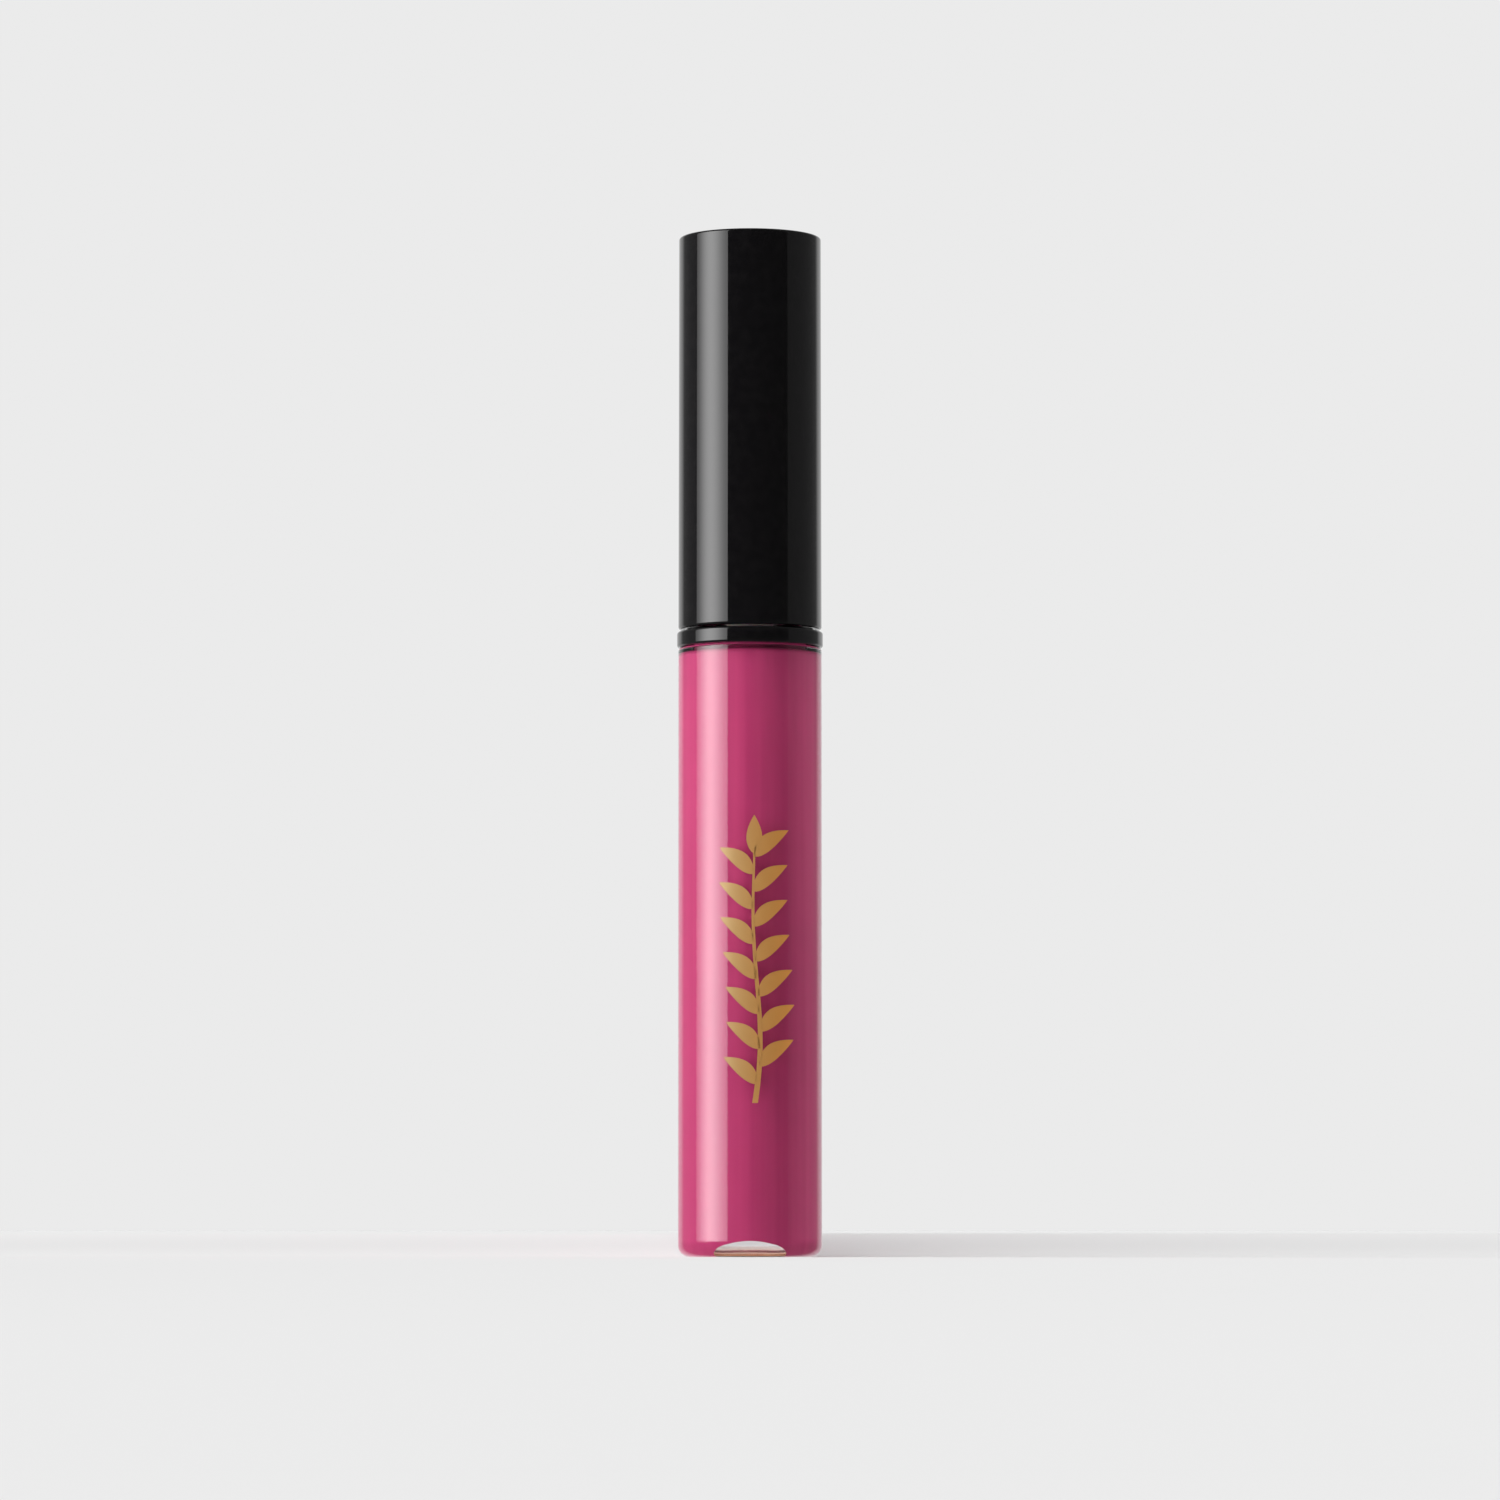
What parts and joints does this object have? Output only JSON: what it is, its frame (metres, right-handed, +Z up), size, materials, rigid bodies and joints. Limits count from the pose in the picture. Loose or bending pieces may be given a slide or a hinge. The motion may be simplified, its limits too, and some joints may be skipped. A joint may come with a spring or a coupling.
{
  "type": "lip gloss tube",
  "caption": "Slim cylindrical lip gloss tube: clear bottle filled with pink gloss, glossy black screw cap and trim ring, with a flocked applicator wand inside the cap.",
  "frame": {"origin": "centre of the base, on the surface the tube stands on", "axes": "+Z up along the tube's axis, from the base to the cap's flat top; the ornament faces -Y"},
  "size_m": [0.0164, 0.0164, 0.1139],
  "materials": {
    "clear_plastic": "clear polished",
    "pink_gloss": "creamy wet gloss",
    "natural_wiper": "soft translucent moulding",
    "black_trim": "high gloss",
    "white_washer": "foamed, matt",
    "black_cap": "high gloss",
    "black_liner": "satin moulding",
    "black_rod": "satin gloss",
    "natural_core": "satin moulding",
    "pink_flock": "short nylon flock"
  },
  "bodies": {
    "bottle": {"bottle": "clear_plastic", "gloss_fill": "pink_gloss", "wiper": "natural_wiper"},
    "collar": {"collar": "black_trim"},
    "washer": {"sealing_washer": "white_washer"},
    "cap": {"cap_shell": "black_cap", "inner_cap": "black_liner", "rod": "black_rod", "applicator_core": "natural_core", "applicator_flock": "pink_flock"}
  },
  "joints": [
    {"name": "cap_turn", "type": "hinge", "parent": "bottle", "child": "collar", "pos_m": [0, 0, 0.0698], "axis": [0, 0, 1], "range_deg": [0, 540]},
    {"name": "wand_pull", "type": "slide", "parent": "collar", "child": "washer", "axis": [0, 0, 1], "range_m": [0, 0.08]},
    {"name": "cap_rise", "type": "slide", "parent": "washer", "child": "cap", "axis": [0, 0, 1], "range_m": [0, 0.0037]}
  ],
  "couplings": [
    {"joint": "cap_rise", "follows": "cap_turn", "m_per_rad": 0.00038197}
  ]
}
